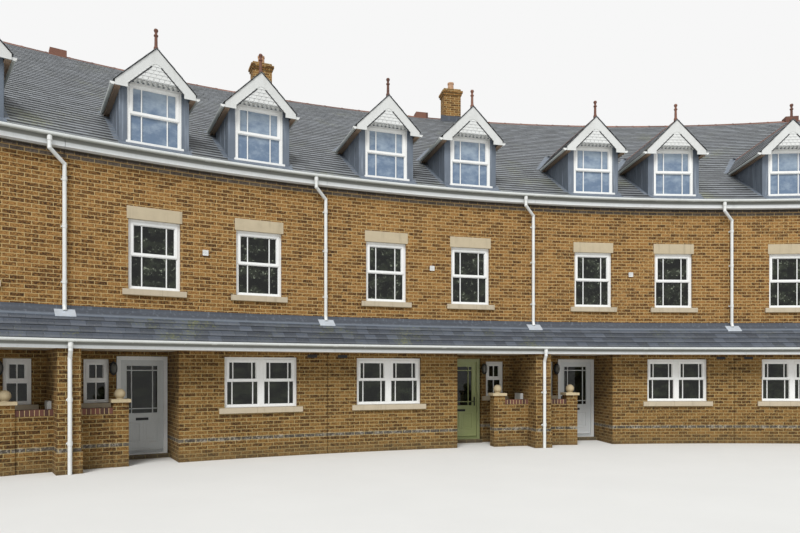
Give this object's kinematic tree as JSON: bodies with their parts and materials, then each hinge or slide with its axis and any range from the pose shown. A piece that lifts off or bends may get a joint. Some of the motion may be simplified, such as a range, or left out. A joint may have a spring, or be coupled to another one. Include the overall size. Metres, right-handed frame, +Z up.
{
  "type": "terraced house row",
  "caption": "Curved row of brick terraced houses with hinged front doors in paired porches, a slated lean-to, gabled dormers, ridge chimneys and sash windows.",
  "frame": {"origin": "on the ground below the middle of the face of the upper front wall", "axes": "+Z up; +X along the row to the right as seen from the front; +Y into the houses, away from the front"},
  "size_m": [38.512, 18.5747, 11.84],
  "materials": {
    "stock_brick": "matte",
    "concrete": "matte",
    "timber_floor": "matte",
    "slate": "matte",
    "clay": "matte",
    "lead": "matte",
    "white_board": "satin",
    "white_plastic": "satin",
    "stone": "matte",
    "white_joinery": "satin",
    "glass": "polished",
    "dark_brick": "matte",
    "door_pale": "satin",
    "door_green": "satin",
    "black_metal": "satin"
  },
  "bodies": {
    "row": {"ground_slabs": "concrete", "upper_floors": "timber_floor", "party_walls": "stock_brick", "porch_fins": "stock_brick", "porch_side_walls": "stock_brick", "porch_back_walls": "stock_brick", "door_heads": "stock_brick", "window_walls": "stock_brick", "upper_front_walls": "stock_brick", "rear_walls": "stock_brick", "front_roofs": "slate", "rear_roofs": "slate", "ridge_tiles": "clay", "ridge_vents": "clay", "chimneys": "stock_brick", "chimney_pots": "clay", "lean_to_roofs": "slate", "lead_flashings": "lead", "porch_soffits": "white_board", "fascia_boards": "white_board", "gutters": "white_plastic", "downpipes": "white_plastic", "dormer_fronts": "lead", "dormer_cheeks": "lead", "dormer_roofs": "slate", "barge_boards": "white_board", "dormer_ridges": "clay", "dormer_gutters": "white_plastic", "stone_lintels": "stone", "stone_sills": "stone", "front_windows": "white_joinery", "dormer_windows": "white_joinery", "rear_windows": "white_joinery", "front_glass": "glass", "rear_glass": "glass", "door_frames": "white_joinery", "door_thresholds": "dark_brick", "end_doors": "white_joinery", "end_door_glass": "glass", "low_walls": "stock_brick", "wall_copings": "dark_brick", "post_caps": "stone", "meter_boxes": "white_plastic", "vent_covers": "white_plastic", "lanterns": "black_metal"},
    "door_2": {"front_door_2": "door_pale", "door_glass_2": "glass"},
    "door_3": {"front_door_3": "door_green", "door_glass_3": "glass"},
    "door_4": {"front_door_4": "door_pale", "door_glass_4": "glass"}
  },
  "joints": [
    {"name": "door_2_hinge", "type": "hinge", "parent": "row", "child": "door_2", "pos_m": [-5.86368, 0.28794, 0.075], "axis": [0, 0, -1], "range_deg": [0, 90]},
    {"name": "door_3_hinge", "type": "hinge", "parent": "row", "child": "door_3", "pos_m": [0.65966, 0.95305, 0.075], "axis": [0, 0, 1], "range_deg": [0, 90]},
    {"name": "door_4_hinge", "type": "hinge", "parent": "row", "child": "door_4", "pos_m": [4.5715, 0.5542, 0.075], "axis": [0, 0, -1], "range_deg": [0, 90]}
  ]
}
